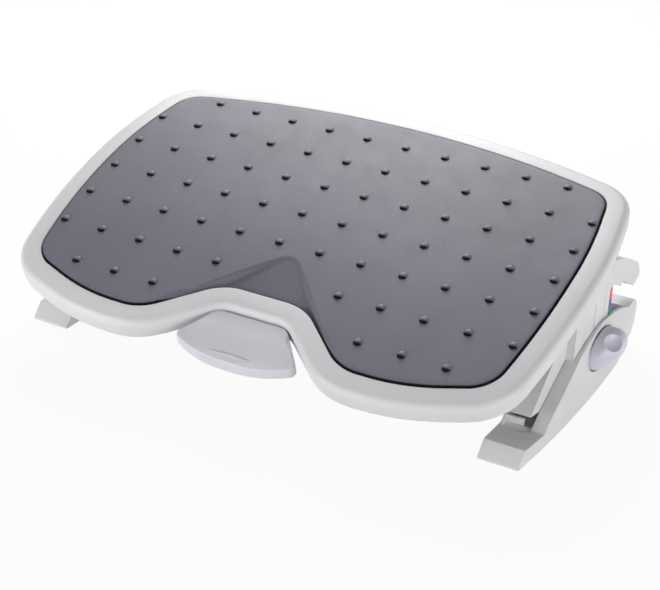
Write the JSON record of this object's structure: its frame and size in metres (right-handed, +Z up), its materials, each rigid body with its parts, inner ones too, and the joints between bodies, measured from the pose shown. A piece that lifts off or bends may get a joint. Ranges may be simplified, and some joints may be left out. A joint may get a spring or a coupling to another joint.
{
  "type": "ergonomic footrest",
  "caption": "Tilting, height-adjustable footrest: wide crowned platform with a dotted soft mat, front release pedal and side height buttons on two low legs.",
  "frame": {"origin": "on the floor, under the middle of the whole part's box", "axes": "+X along the width to the sitter's right seen from the front, +Y from the pedal towards the raised back edge, +Z up"},
  "size_m": [0.5814, 0.3694, 0.1765],
  "materials": {
    "light_grey_plastic": "moulded, fine satin grain",
    "leg_plastic": "moulded, fine satin grain",
    "pedal_plastic": "moulded, smooth satin",
    "button_plastic": "moulded, smooth",
    "mat_rubber": "moulded soft mat with a fine grain",
    "pad_rubber": "moulded, matt",
    "zinc_steel": "zinc plated",
    "spring_steel": "drawn wire",
    "scale_label": "printed label in red, blue and green bands",
    "dark_plastic": "moulded acetal"
  },
  "bodies": {
    "base": {"front_cross_tube": "zinc_steel", "left_button_spring": "spring_steel", "left_foot_pad_front": "pad_rubber", "left_foot_pad_rear": "pad_rubber", "left_latch_plate": "zinc_steel", "left_leg": "leg_plastic", "rear_cross_tube": "zinc_steel", "right_button_spring": "spring_steel", "right_foot_pad_front": "pad_rubber", "right_foot_pad_rear": "pad_rubber", "right_latch_plate": "zinc_steel", "right_leg": "leg_plastic"},
    "carriage": {"carriage_stretcher": "zinc_steel", "left_axle_bolt": "zinc_steel", "left_height_bracket": "leg_plastic", "left_height_scale": "scale_label", "left_lock_quadrant": "zinc_steel", "pivot_axle": "zinc_steel", "right_axle_bolt": "zinc_steel", "right_height_bracket": "leg_plastic", "right_height_scale": "scale_label", "right_lock_quadrant": "zinc_steel"},
    "platform": {"foot_mat": "mat_rubber", "left_pivot_saddle": "dark_plastic", "left_saddle_screw_front": "zinc_steel", "left_saddle_screw_rear": "zinc_steel", "lock_spring": "spring_steel", "pedal_hinge_pin": "zinc_steel", "pedal_spring": "spring_steel", "platform_tray": "light_grey_plastic", "right_pivot_saddle": "dark_plastic", "right_saddle_screw_front": "zinc_steel", "right_saddle_screw_rear": "zinc_steel"},
    "pedal": {"foot_pedal": "pedal_plastic", "release_bar": "zinc_steel"},
    "lock": {"left_lock_cam": "dark_plastic", "lock_shaft": "zinc_steel", "right_lock_cam": "dark_plastic"},
    "left_button": {"left_height_button": "button_plastic", "left_latch_pin": "zinc_steel"},
    "right_button": {"right_height_button": "button_plastic", "right_latch_pin": "zinc_steel"}
  },
  "joints": [
    {"name": "height_slide", "type": "slide", "parent": "base", "child": "carriage", "axis": [0, 0, 1], "range_m": [-0.0127, 0.0254]},
    {"name": "tilt_hinge", "type": "hinge", "parent": "carriage", "child": "platform", "pos_m": [0, 0.02311, 0.1144], "axis": [1, 0, 0], "range_deg": [-16.2, 3.8]},
    {"name": "pedal_press", "type": "hinge", "parent": "platform", "child": "pedal", "pos_m": [0, -0.10747, 0.07532], "axis": [1, 0, 0], "range_deg": [0, 6], "stiffness_Nm_per_rad": 6, "springref_deg": -3.44, "deforming": ["pedal_spring"]},
    {"name": "lock_release", "type": "hinge", "parent": "platform", "child": "lock", "pos_m": [0, -0.03099, 0.11316], "axis": [1, 0, 0], "range_deg": [-24, 0], "deforming": ["lock_spring"]},
    {"name": "left_button_press", "type": "slide", "parent": "base", "child": "left_button", "axis": [1, 0, 0], "range_m": [0, 0.003], "stiffness_N_per_m": 1500, "springref_m": -0.004, "deforming": ["left_button_spring"]},
    {"name": "right_button_press", "type": "slide", "parent": "base", "child": "right_button", "axis": [-1, 0, 0], "range_m": [0, 0.003], "stiffness_N_per_m": 1500, "springref_m": -0.004, "deforming": ["right_button_spring"]}
  ],
  "couplings": [
    {"joint": "lock_release", "follows": "pedal_press", "ratio": -4}
  ]
}
